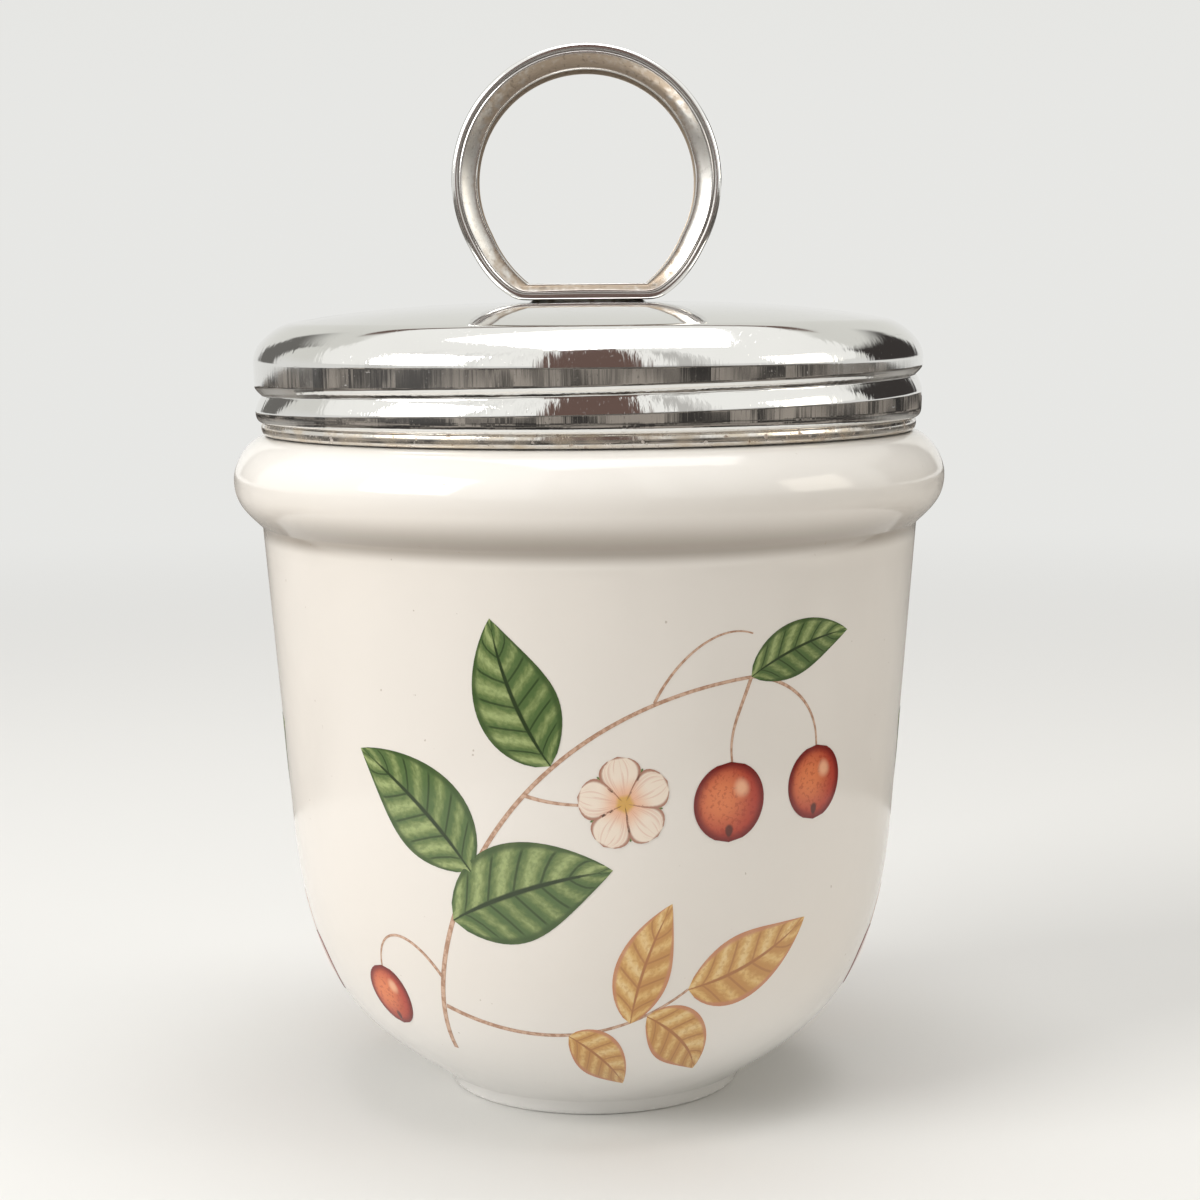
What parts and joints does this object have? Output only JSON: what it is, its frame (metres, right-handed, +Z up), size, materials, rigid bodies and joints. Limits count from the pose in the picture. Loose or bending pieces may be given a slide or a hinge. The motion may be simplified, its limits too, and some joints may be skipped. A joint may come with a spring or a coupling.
{
  "type": "egg coddler",
  "caption": "Lidded porcelain pot for coddling an egg, with a rolled collar, a foot ring and a screw-on metal lid carrying a lifting ring.",
  "frame": {"origin": "on the pot's axis, in the plane that the foot ring stands on", "axes": "+Z up along the axis; -Y is the front; the lifting ring's opening runs along Y"},
  "size_m": [0.064, 0.064, 0.094],
  "materials": {
    "porcelain": "clear gloss glaze over a warm white body, with a printed spray of fruit and leaves",
    "lid_chrome": "polished chrome with fine scratches and specks of rust on the hem",
    "seal_rubber": "matt",
    "ring_chrome": "polished outside, brown tarnish inside the channel",
    "solder": "dull grey metal"
  },
  "bodies": {
    "pot": {"pot": "porcelain"},
    "seal": {"lid_seal": "seal_rubber"},
    "lid": {"lid_shell": "lid_chrome", "lifting_ring": "ring_chrome", "ring_solder": "solder"}
  },
  "joints": [
    {"name": "lid_lift", "type": "slide", "parent": "pot", "child": "seal", "axis": [0, 0, 1], "range_m": [0, 0.0096]},
    {"name": "lid_turn", "type": "hinge", "parent": "seal", "child": "lid", "pos_m": [0, 0, 0.0641], "axis": [0, 0, 1], "range_deg": [0, 1080]}
  ],
  "couplings": [
    {"joint": "lid_lift", "follows": "lid_turn", "m_per_rad": 0.0005093}
  ]
}
